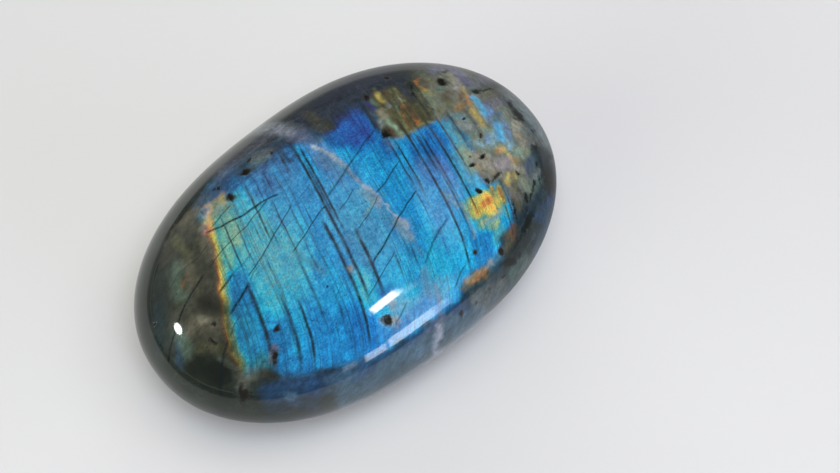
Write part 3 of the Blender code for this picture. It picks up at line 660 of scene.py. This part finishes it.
def brushed(points, strokes):
    """Soft strokes laid one over another: their colour times their cover, and their cover."""
    x, y, z = points.T
    ragged_x = x + wavering(points, 1.9, 0.16, 8) + wavering(points, 0.8, 0.09, 10)
    ragged_y = y + wavering(points, 2.0, 0.26, 9) + wavering(points, 0.9, 0.12, 11)
    upper = smooth((z - BELLY_HEIGHT + 6) / 3)
    colour = np.zeros((len(x), 3))
    cover = np.zeros((len(x), 1))
    for *ends, half_width, tone, share in strokes:
        away = stretch_distance(ragged_x, ragged_y, *(end / 10 for end in ends)) / (half_width / 100)
        amount = (smooth((STROKE_END - away) / STROKE_FADE) * (share / 100) * upper)[:, None]
        colour += (linear(tone) - colour) * amount
        cover += (1 - cover) * amount
    return colour, cover


def line_field(distances, half_widths, strengths):
    """For each point, the nearest line's signed distance in half widths, and how dark that line is there."""
    near = smooth((LINE_REACH - np.abs(distances)) / (LINE_REACH * 0.4)) * strengths
    chosen = np.argmax(near, axis=0)
    pick = np.arange(distances.shape[1])
    ratio = distances[chosen, pick] / half_widths[chosen]
    return np.stack((ratio, near[chosen, pick], np.zeros(len(pick))), -1)


def twin_line_field(points, lines):
    """Lines where the surface cuts twin planes: distance is the difference in plane, faded past the ends."""
    x, y, z = points.T
    plane = x - PLANE_ACROSS * y - PLANE_HEIGHT * (z - THICKNESS) - PLANE_BEND * y ** 2
    crown = smooth((z - BELLY_HEIGHT) / 1.5)
    places, first, last, half_widths, darkness = np.array(lines).T[:, :, None]
    ends = smooth((y - first + TWIN_PAST) / TWIN_FADE) * smooth((last + TWIN_PAST - y) / TWIN_FADE)
    distances = plane - places + wavering(points, 3.0, 0.04, 6)
    return line_field(distances, half_widths[:, 0], ends * crown * darkness)


def crack_field(points, cracks):
    """Cracks as open paths in plan: distance is measured square to the path, and each fades past its ends."""
    x, y, z = points.T
    crown = smooth((z - BELLY_HEIGHT) / 1.5)
    waver = wavering(points, 1.6, 0.05, 5)
    distances = np.array([path_distance(x, y, path) + waver for _, _, path in cracks])
    ends = []
    for _, darkness, path in cracks:
        (ax, ay), (bx, by) = path[0], path[-1]
        length = math.hypot(bx - ax, by - ay)
        share = ((x - ax) * (bx - ax) + (y - ay) * (by - ay)) / length
        near_end = smooth((share + CRACK_PAST) / CRACK_FADE)
        far_end = smooth((length - share + CRACK_PAST) / CRACK_FADE)
        ends.append(near_end * far_end * crown * darkness)
    return line_field(distances, np.array([width for width, _, _ in cracks]), np.array(ends))


def nearest_spot(points, spots, furthest):
    """Distance to the nearest of the spots, 0 at its middle and 1 on its edge."""
    x, y, z = points.T
    reach = np.full(len(x), furthest)
    for spot in spots:
        reach = np.minimum(reach, block_distance(x, y, *spot))
    return np.where(z > BELLY_HEIGHT - 2, reach, furthest)


def keep(mesh, name, kind, values):
    """Stores one value, vector or colour for each vertex."""
    attribute = mesh.attributes.new(name, kind, "POINT")
    field = {"FLOAT": "value", "FLOAT_VECTOR": "vector", "FLOAT_COLOR": "color"}[kind]
    attribute.data.foreach_set(field, np.ascontiguousarray(values, np.float32).ravel())


def placed(name, data):
    """A new object in the scene, holding that data."""
    made = bpy.data.objects.new(name, data)
    bpy.context.scene.collection.objects.link(made)
    return made


def polished_stone():
    """The whole closed stone as one mesh, with its marks as attributes."""
    points, rings = stone_surface()
    mesh = bpy.data.meshes.new("polished_stone")
    mesh.from_pydata((points * MM).tolist(), [], stone_faces(rings))
    mesh.shade_smooth()
    for name, values in zip(("flash_hue", "flash_power", "milk"), flash_fields(points)):
        keep(mesh, name, "FLOAT", values)
    keep(mesh, "body_colour", "FLOAT_COLOR", np.insert(body_field(points), 3, 1, axis=1))
    colour, cover = brushed(points, STROKES_AND_PAINTED_REFLECTIONS)
    keep(mesh, "stroke_colour", "FLOAT_VECTOR", colour)
    keep(mesh, "stroke_cover", "FLOAT", cover)
    in_order = sorted(TWIN_LINES)
    for family in range(TWIN_FAMILIES):
        lines = twin_line_field(points, in_order[family::TWIN_FAMILIES])
        keep(mesh, f"twin_lines_{family}", "FLOAT_VECTOR", lines)
    for family in range(CRACK_FAMILIES):
        lines = crack_field(points, CRACKS[family::CRACK_FAMILIES])
        keep(mesh, f"cracks_{family}", "FLOAT_VECTOR", lines)
    keep(mesh, "grain", "FLOAT", nearest_spot(points, GRAINS, GRAIN_REACH))
    keep(mesh, "smudge", "FLOAT", nearest_spot(points, SMUDGES, SMUDGE_REACH))
    return placed("polished_stone", mesh)


# ---------------------------------------------------------------- the finish

# The polish of the stone, the dull black grains, and how deep in millimetres they seem to sit.
STONE_IOR = 1.56
POLISH_ROUGHNESS = 0.065
GRAIN_ROUGHNESS = 0.5
GRAIN_SINK = 0.1


class Board:
    """A node tree with short ways to add and join nodes."""

    def __init__(self, tree):
        self.tree = tree

    def add(self, kind, inputs=(), **settings):
        node = self.tree.nodes.new(kind)
        for name, value in settings.items():
            setattr(node, name, value)
        for name, value in dict(inputs).items():
            self.put(node.inputs[name], value)
        return node

    def put(self, socket, value):
        if isinstance(value, bpy.types.NodeSocket):
            self.tree.links.new(value, socket)
        else:
            socket.default_value = value

    def filled(self, node, values):
        for socket, value in zip(node.inputs, values):
            self.put(socket, value)
        return node

    def math(self, operation, *values, clamp=False):
        node = self.add("ShaderNodeMath", operation=operation, use_clamp=clamp)
        return self.filled(node, values).outputs[0]

    def times(self, product, *values):
        for value in values:
            product = self.math("MULTIPLY", product, value)
        return product

    def less(self, whole, part):
        return self.math("SUBTRACT", whole, part)

    def vector(self, operation, *values):
        node = self.filled(self.add("ShaderNodeVectorMath", operation=operation), values)
        return node.outputs["Value" if operation == "DOT_PRODUCT" else "Vector"]

    def fit(self, value, low, high, to_low=0.0, to_high=1.0):
        """Value from low to high brought to to_low to to_high, with a soft S and clamped."""
        kind = {"Value": value, "From Min": low, "From Max": high, "To Min": to_low, "To Max": to_high}
        return self.add("ShaderNodeMapRange", kind, interpolation_type="SMOOTHSTEP").outputs["Result"]

    def mix(self, share, first, second, blend="MIX"):
        node = self.add("ShaderNodeMix", {"Factor": share}, data_type="RGBA", blend_type=blend)
        self.put(node.inputs[6], first)
        self.put(node.inputs[7], second)
        return node.outputs[2]

    def stained(self, surface, share, colour):
        """The surface brought towards an sRGB colour by that share."""
        return self.mix(share, surface, (*linear(colour), 1.0))

    def noise(self, vector, scale, detail=3.0, roughness=0.5):
        inputs = {"Vector": vector, "Scale": scale, "Detail": detail, "Roughness": roughness}
        return self.add("ShaderNodeTexNoise", inputs).outputs["Fac"]

    def attribute(self, name, output="Fac"):
        return self.add("ShaderNodeAttribute", attribute_name=name).outputs[output]

    def moved(self, value, *pushes):
        """The value pushed up and down by each noise, which is about 0.5, times its strength."""
        for noise, strength in pushes:
            value = self.math("MULTIPLY_ADD", self.less(noise, 0.5), strength, value)
        return value


def node_group(name, inputs, output, kind="NodeSocketFloat"):
    """An empty shader node group with those sockets: the group, its board, and its input and output nodes."""
    group = bpy.data.node_groups.new(name, "ShaderNodeTree")
    for label, socket_type in inputs.items():
        group.interface.new_socket(label, in_out="INPUT", socket_type=socket_type)
    group.interface.new_socket(output, in_out="OUTPUT", socket_type=kind)
    board = Board(group)
    return group, board, board.add("NodeGroupInput").outputs, board.add("NodeGroupOutput").inputs[output]


def plane_coordinates_group():
    """Object coordinates in millimetres, with X replaced by the twin plane that a point lies on."""
    group, board, _, out = node_group("twin_plane_coordinates", {}, "Vector", "NodeSocketVector")
    place = board.add("ShaderNodeTexCoord").outputs["Object"]
    millimetres = board.vector("SCALE", place)
    millimetres.node.inputs["Scale"].default_value = 1 / MM
    parts = board.add("ShaderNodeSeparateXYZ", {"Vector": millimetres}).outputs
    leaned = board.vector("DOT_PRODUCT", millimetres, (1.0, -PLANE_ACROSS, -PLANE_HEIGHT))
    bent = board.times(board.math("POWER", board.math("ABSOLUTE", parts["Y"]), 2.0), PLANE_BEND)
    made = {"X": board.less(leaned, bent), "Y": parts["Y"], "Z": parts["Z"]}
    board.put(out, board.add("ShaderNodeCombineXYZ", made).outputs["Vector"])
    return group


def streaks_group():
    """Noise drawn out along the twin planes: Pitch is streaks a millimetre, Length how drawn out they are."""
    inputs = {"Vector": "NodeSocketVector", "Pitch": "NodeSocketFloat", "Length": "NodeSocketFloat"}
    group, board, given, out = node_group("twin_streaks", inputs, "Streaks")
    along = board.math("DIVIDE", given["Pitch"], given["Length"])
    scale = board.add("ShaderNodeCombineXYZ", {"X": given["Pitch"], "Y": along, "Z": along})
    drawn_out = board.vector("MULTIPLY", given["Vector"], scale.outputs["Vector"])
    board.put(out, board.noise(drawn_out, 1.0, 2.0, 0.55))
    return group


def dark_line_group():
    """A mask from a line attribute: full where its roughened distance is nought, none past Outer."""
    inputs = {"Line": "NodeSocketVector", "Roughening": "NodeSocketFloat", "Outer": "NodeSocketFloat"}
    group, board, given, out = node_group("dark_lines", inputs, "Mask")
    parts = board.add("ShaderNodeSeparateXYZ", {"Vector": given["Line"]}).outputs
    away = board.math("ADD", board.math("ABSOLUTE", parts["X"]), given["Roughening"])
    board.put(out, board.times(board.fit(away, 0.0, given["Outer"], 1.0, 0.0), parts["Y"]))
    return group


def polished_labradorite():
    """Cloudy grey feldspar with a flash of colour under a high polish."""
    material = bpy.data.materials.new("polished_labradorite")
    material.use_nodes = True
    material.node_tree.nodes.clear()
    board = Board(material.node_tree)
    fit, noise, times, less = board.fit, board.noise, board.times, board.less
    shader = board.add("ShaderNodeBsdfPrincipled")
    out = board.add("ShaderNodeOutputMaterial")
    board.put(out.inputs["Surface"], shader.outputs["BSDF"])

    planes = board.add("ShaderNodeGroup", node_tree=plane_coordinates_group()).outputs["Vector"]
    streaks = streaks_group()

    def streak(pitch, length):
        inputs = {"Vector": planes, "Pitch": pitch, "Length": length}
        return board.add("ShaderNodeGroup", inputs, node_tree=streaks).outputs["Streaks"]

    broad = streak(0.9, 10.0)
    fine = streak(2.4, 14.0)
    cloud = noise(planes, 0.40, 4.0, 0.6)
    mottle = noise(planes, 1.3, 6.0, 0.65)
    grit = noise(planes, 6.0, 3.0, 0.7)
    pebble = noise(planes, 3.3, 2.0, 0.6)
    twisted = {"Vector": planes, "Scale": 0.55, "Detail": 6.0, "Distortion": 0.8}
    wisps = board.add("ShaderNodeTexNoise", twisted).outputs["Fac"]

    # The cloudy feldspar body.
    shade = times(fit(mottle, 0.28, 0.72, 0.78, 1.25), fit(wisps, 0.35, 0.62, 1.10, 0.84),
                  fit(fine, 0.25, 0.75, 0.92, 1.08))
    body = board.mix(1.0, board.attribute("body_colour", "Color"), shade, "MULTIPLY")

    # The flash: streaks and clouds shift it along the spectrum, each as far as its place there allows.
    hue = board.attribute("flash_hue")
    banding = fit(hue, 0.5, 0.8, 0.11, 0.15)
    hue = board.moved(hue, (broad, banding), (fine, banding))
    hue = board.moved(hue, (mottle, fit(hue, 0.5, 0.8, 0.24, 0.10)))
    hue = board.moved(hue, (cloud, fit(hue, 0.5, 0.8, 0.12, 0.04)))
    ramp = board.add("ShaderNodeValToRGB", {"Fac": hue})
    stops = ramp.color_ramp.elements
    while len(stops) < len(SPECTRUM):
        stops.new(0.5)
    for stop, (place, colour) in zip(stops, SPECTRUM):
        stop.position = place
        stop.color = (*linear(colour), 1.0)
    bright = times(fit(fine, 0.2, 0.8, 0.90, 1.08), fit(broad, 0.25, 0.75, 0.90, 1.08),
                   fit(cloud, 0.3, 0.7, 0.86, 1.12), fit(grit, 0.30, 0.62, 0.72, 1.12),
                   fit(pebble, 0.34, 0.62, 0.80, 1.12), fit(mottle, 0.30, 0.70, 0.92, 1.08))
    flash = board.mix(1.0, ramp.outputs["Color"], bright, "MULTIPLY")

    # Twin planes that do not flash let the body through.
    lines = dark_line_group()
    rough_edge = times(less(grit, 0.5), 0.9)

    def line_masks(name, families, outer):
        mask = 0.0
        for family in range(families):
            line = board.attribute(f"{name}_{family}", "Vector")
            inputs = {"Line": line, "Roughening": rough_edge, "Outer": outer}
            one = board.add("ShaderNodeGroup", inputs, node_tree=lines).outputs["Mask"]
            mask = board.math("MAXIMUM", mask, one)
        return mask

    twins = times(line_masks("twin_lines", TWIN_FAMILIES, 1.75), fit(wisps, 0.36, 0.60, 0.66, 1.0))
    cracks = times(line_masks("cracks", CRACK_FAMILIES, 1.6), fit(pebble, 0.36, 0.60, 0.66, 1.0))
    hairs = fit(board.math("ABSOLUTE", less(streak(1.1, 60.0), 0.5)), 0.0, 0.035, 0.6, 0.0)
    hairs = times(hairs, fit(mottle, 0.40, 0.60, 0.35, 1.0))
    power = board.attribute("flash_power")
    ragged = times(power, less(1.0, power), times(less(mottle, 0.5), 3.6))
    power = board.math("ADD", power, ragged)
    held_back = less(1.0, board.math("MAXIMUM", twins, hairs))
    power = board.math("MULTIPLY", power, held_back, clamp=True)
    surface = board.mix(power, body, flash)

    # Milky veils, and soft strokes over both: most strokes are other feldspar, a few thin dark ones are
    # painted reflections of a dark horizon.
    milk = board.math("MULTIPLY", board.attribute("milk"), fit(mottle, 0.3, 0.7, 0.5, 1.4), clamp=True)
    surface = board.stained(surface, milk, MILKY)
    patchy = fit(mottle, 0.30, 0.60, 0.84, 1.0)
    cover = times(board.attribute("stroke_cover"), patchy)
    surface = board.mix(1.0, surface, less(1.0, cover), "MULTIPLY")
    shaded = times(shade, times(patchy, fit(pebble, 0.34, 0.62, 0.90, 1.08)))
    strokes = board.mix(1.0, board.attribute("stroke_colour", "Vector"), shaded, "MULTIPLY")
    surface = board.mix(1.0, surface, strokes, "ADD")

    # Dark twin lines, cracks, smudges, grains and specks, and fine dust between the specks.
    surface = board.stained(surface, times(twins, 0.50), TWIN_SHADE)
    surface = board.stained(surface, cracks, CRACK_SHADE)
    smudge = board.moved(board.attribute("smudge"), (mottle, 3.2), (grit, 0.9))
    surface = board.stained(surface, fit(smudge, 0.45, 1.45, 0.85, 0.0), SOOT)
    grain = board.moved(board.attribute("grain"), (mottle, 1.9), (grit, 1.6))
    grains = fit(grain, 0.60, 1.30, 1.0, 0.0)
    surface = board.stained(surface, grains, GRAIN_BLACK)
    specks = fit(noise(planes, 3.4, 2.0, 0.5), 0.685, 0.75, 0.0, 0.8)
    dust = fit(noise(planes, 7.0, 1.0, 0.5), 0.66, 0.74, 0.0, 0.5)
    surface = board.stained(surface, board.math("MAXIMUM", specks, dust), SPECK_DARK)

    relief = {"Height": less(1.0, grains), "Strength": 0.5, "Distance": GRAIN_SINK * MM}
    board.put(shader.inputs["Base Color"], surface)
    board.put(shader.inputs["Roughness"], fit(grains, 0.0, 1.0, POLISH_ROUGHNESS, GRAIN_ROUGHNESS))
    board.put(shader.inputs["IOR"], STONE_IOR)
    board.put(shader.inputs["Normal"], board.add("ShaderNodeBump", relief).outputs["Normal"])
    return material


# ---------------------------------------------------------------- the studio

STONE_MIDDLE = Vector((0, 0, 10.99)) * MM
VIEW_ELEVATION = 59.56
VIEW_AZIMUTH = -35.25
VIEW_DISTANCE = 322.8 * MM
VIEW_ASIDE = 9.98 * MM
VIEW_ABOVE = -0.645 * MM
LENS = 100
SENSOR = 36

TABLE_RADIUS = 3.0
TABLE_SIDES = 96
TABLE_COLOUR = (0.80, 0.80, 0.80)

# The dark card by direction round the stone: degrees from +X, how dim it is near the stone, where it starts
# to darken, over what distance, its shade, and the radius and height of its rim.
CARD_PROFILE = (
    (0, 0.52, 58, 100, 0.11, 132, 22), (30, 0.48, 46, 104, 0.11, 132, 22),
    (57, 0.46, 38, 92, 0.11, 132, 22), (72, 0.22, 40, 86, 0.11, 132, 20), (90, 0.1, 50, 80, 0.11, 132, 18),
    (110, 0.14, 122, 18, 0.012, 132, 14), (150, 0.13, 118, 20, 0.012, 132, 12),
    (172, 0.29, 66, 50, 0.05, 160, 12), (215, 0.46, 60, 40, 0.05, 300, 5),
    (235, 0.12, 84, 14, 0.012, 700, 0.3), (295, 0.1, 84, 14, 0.012, 700, 0.3),
    (310, 0.62, 60, 50, 0.05, 500, 0.6), (335, 0.78, 40, 80, 0.11, 200, 14),
    (360, 0.52, 58, 100, 0.11, 132, 22),
)
CARD_TURNS = 144
CARD_RINGS = 54
CARD_INNER = 24
CARD_OUTER = 130
CARD_HEIGHT = 0.3
CARD_COLOUR = (0.012, 0.012, 0.012)

ROOM_LIGHT = {"Color": (0.98, 1.0, 1.02, 1.0), "Strength": 0.10}
MIRRORED_ROOM = {"Color": (0.9, 0.95, 1.0, 1.0), "Strength": 0.085}

WHITE = (1, 1, 1)
# Lamps: (name, azimuth, elevation, distance, degrees wide, degrees high, radiance, colour, shape).
# The first kind lights the set and isn't mirrored; the second is seen in the polish and lights nothing.
SOFT_LAMPS = (
    ("key", -22, 68, 0.7, 30, 30, 5.5, (0.87, 0.99, 1.06), "DISK"),
    ("overhead", 0, 89.9, 0.7, 40, 40, 1.25, (1.24, 1.00, 0.84), "DISK"),
    ("left_fill", -92, 34, 0.7, 30, 30, 0.9, WHITE, "DISK"),
    ("right_fill", 55, 60, 0.7, 30, 30, 2.2, (1.00, 1.01, 1.01), "DISK"),
    ("front_wall", 25, 10, 3.0, 60, 20, 4.0, (0.98, 0.86, 1.25)),
    ("back_wall", 145, 10, 3.0, 60, 20, 6.6, (0.99, 1.01, 1.00)),
    ("left_wall", -95, 10, 3.0, 60, 20, 5.4, (1.05, 1.04, 0.87)),
)
MIRRORED_LAMPS = (
    ("round_lamp", -118.4, 25.2, 0.6, 5.5, 4.3, 60, WHITE, "DISK"),
    ("desk_lamp", 14.6, 43.3, 0.6, 7.4, 5.8, 24),
    ("desk_lamp_end", 19.6, 42.9, 0.6, 2.2, 4.8, 7),
    ("desk_lamp_glow", 19.6, 39.0, 0.6, 6.0, 4.0, 1.6, (1.0, 0.9, 0.75)),
    ("window_left", 3.2, 3.6, 0.6, 7.4, 9.2, 5.8),
    ("window_right", 13.2, 4.6, 0.6, 10.8, 11, 6.8),
    ("window_end", 19.8, 4.4, 0.6, 2.4, 10, 2.4),
    ("window_far", -6.3, 4.6, 0.6, 5.5, 6.8, 1.6, (0.85, 0.95, 1.1)),
    ("pale_wall", -145, 14, 0.6, 70, 24, 0.20),
)


def direction(azimuth, elevation):
    """A unit vector: azimuth 0 points to -Y and 90 to +X, and elevation is above the table, in degrees."""
    a = math.radians(azimuth)
    e = math.radians(elevation)
    return Vector((math.sin(a) * math.cos(e), -math.cos(a) * math.cos(e), math.sin(e)))


def camera():
    """A close-up lens looking down on the stone from the front left."""
    data = bpy.data.cameras.new("close_up")
    data.lens = LENS
    data.sensor_width = SENSOR
    data.clip_start = 0.01
    back = direction(VIEW_AZIMUTH, VIEW_ELEVATION)
    right = Vector((math.cos(math.radians(VIEW_AZIMUTH)), math.sin(math.radians(VIEW_AZIMUTH)), 0))
    target = STONE_MIDDLE + right * VIEW_ASIDE + back.cross(right) * VIEW_ABOVE
    eye = placed("close_up", data)
    eye.location = STONE_MIDDLE + back * VIEW_DISTANCE
    eye.rotation_euler = (target - eye.location).to_track_quat("-Z", "Y").to_euler()
    bpy.context.scene.camera = eye


def lamp_facing(name, azimuth, elevation, distance, wide, high, radiance, colour=WHITE, shape="RECTANGLE"):
    """A flat lamp turned to the stone, its size given in degrees as the stone sees it."""
    data = bpy.data.lights.new(name, "AREA")
    data.shape = shape
    data.size = 2 * distance * math.tan(math.radians(wide / 2))
    data.size_y = 2 * distance * math.tan(math.radians(high / 2))
    area = data.size * data.size_y * (1 if shape == "RECTANGLE" else math.pi / 4)
    data.energy = radiance * math.pi * area
    data.color = colour
    lamp = placed(name, data)
    way = direction(azimuth, elevation)
    lamp.location = STONE_MIDDLE + way * distance
    lamp.rotation_euler = way.to_track_quat("Z", "Y").to_euler()
    lamp.visible_camera = False
    return lamp


def plain_material(name, colour, roughness):
    material = bpy.data.materials.new(name)
    material.use_nodes = True
    shader = material.node_tree.nodes["Principled BSDF"]
    shader.inputs["Base Color"].default_value = (*colour, 1.0)
    shader.inputs["Roughness"].default_value = roughness
    return material


def table_top():
    """A round pale table, one flat face three metres in radius."""
    turns = np.linspace(0, 2 * np.pi, TABLE_SIDES, endpoint=False)
    circle = np.stack((np.cos(turns), np.sin(turns), np.zeros(TABLE_SIDES)), -1)
    mesh = bpy.data.meshes.new("table_top")
    mesh.from_pydata((circle * TABLE_RADIUS).tolist(), [], [list(range(TABLE_SIDES))])
    mesh.materials.append(plain_material("pale_table", TABLE_COLOUR, 0.7))
    table = placed("table_top", mesh)


def dark_card():
    """A dark sheet round the set, seen only in the polish, that ends the mirrored table.

    It is flat but for a low rim. Its cover rises with distance, from a start that differs round the stone.
    """
    turns = np.linspace(0, 2 * np.pi, CARD_TURNS, endpoint=False)
    profile = np.array(CARD_PROFILE, float)
    dim, start, ramp, shade, rim_radius, rim_height = [
        np.interp(np.degrees(turns), profile[:, 0], column) for column in profile[:, 1:].T
    ]
    level = np.linspace(CARD_INNER, CARD_OUTER, CARD_RINGS)
    radius = np.concatenate((np.tile(level[:, None], CARD_TURNS), rim_radius[None, :]))
    height = np.concatenate((np.full((CARD_RINGS, CARD_TURNS), CARD_HEIGHT), rim_height[None, :]))
    points = np.stack((radius * np.cos(turns), radius * np.sin(turns), height), -1) * MM
    cover = np.maximum(smooth((radius - start) / ramp), dim)
    # Its faces are turned over, towards the table.
    faces = ring_quads(CARD_RINGS + 1, CARD_TURNS)[:, (0, 3, 2, 1)]
    mesh = bpy.data.meshes.new("dark_card")
    mesh.from_pydata(points.reshape(-1, 3).tolist(), [], faces.tolist())
    keep(mesh, "cover", "FLOAT", cover)
    keep(mesh, "shade", "FLOAT", np.broadcast_to(shade, cover.shape))
    material = plain_material("dark_card", CARD_COLOUR, 1.0)
    board = Board(material.node_tree)
    shader = material.node_tree.nodes["Principled BSDF"]
    board.put(shader.inputs["Alpha"], board.attribute("cover"))
    board.put(shader.inputs["Base Color"], board.attribute("shade"))
    mesh.materials.append(material)
    card = placed("dark_card", mesh)
    card.visible_camera = False
    card.visible_diffuse = False
    card.visible_shadow = False


def room():
    """A pale room for the table and a dim one for the polish to mirror."""
    world = bpy.data.worlds.new("room")
    world.use_nodes = True
    world.node_tree.nodes.clear()
    board = Board(world.node_tree)
    path = board.add("ShaderNodeLightPath")
    ambient = board.add("ShaderNodeBackground", ROOM_LIGHT)
    mirrored = board.add("ShaderNodeBackground", MIRRORED_ROOM)
    sides = (path.outputs["Is Glossy Ray"], ambient.outputs[0], mirrored.outputs[0])
    seen = board.filled(board.add("ShaderNodeMixShader"), sides)
    out = board.add("ShaderNodeOutputWorld")
    board.put(out.inputs["Surface"], seen.outputs[0])
    bpy.context.scene.world = world


def studio():
    """Camera, table, room and lamps."""
    bpy.context.scene.view_settings.view_transform = "Standard"
    camera()
    table_top()
    dark_card()
    room()
    for lamp in SOFT_LAMPS:
        lamp_facing(*lamp).visible_glossy = False
    for lamp in MIRRORED_LAMPS:
        lamp_facing(*lamp).visible_diffuse = False


stone = polished_stone()
stone.data.materials.append(polished_labradorite())
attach(stone, "root")
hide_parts("labradorite_stone")
studio()
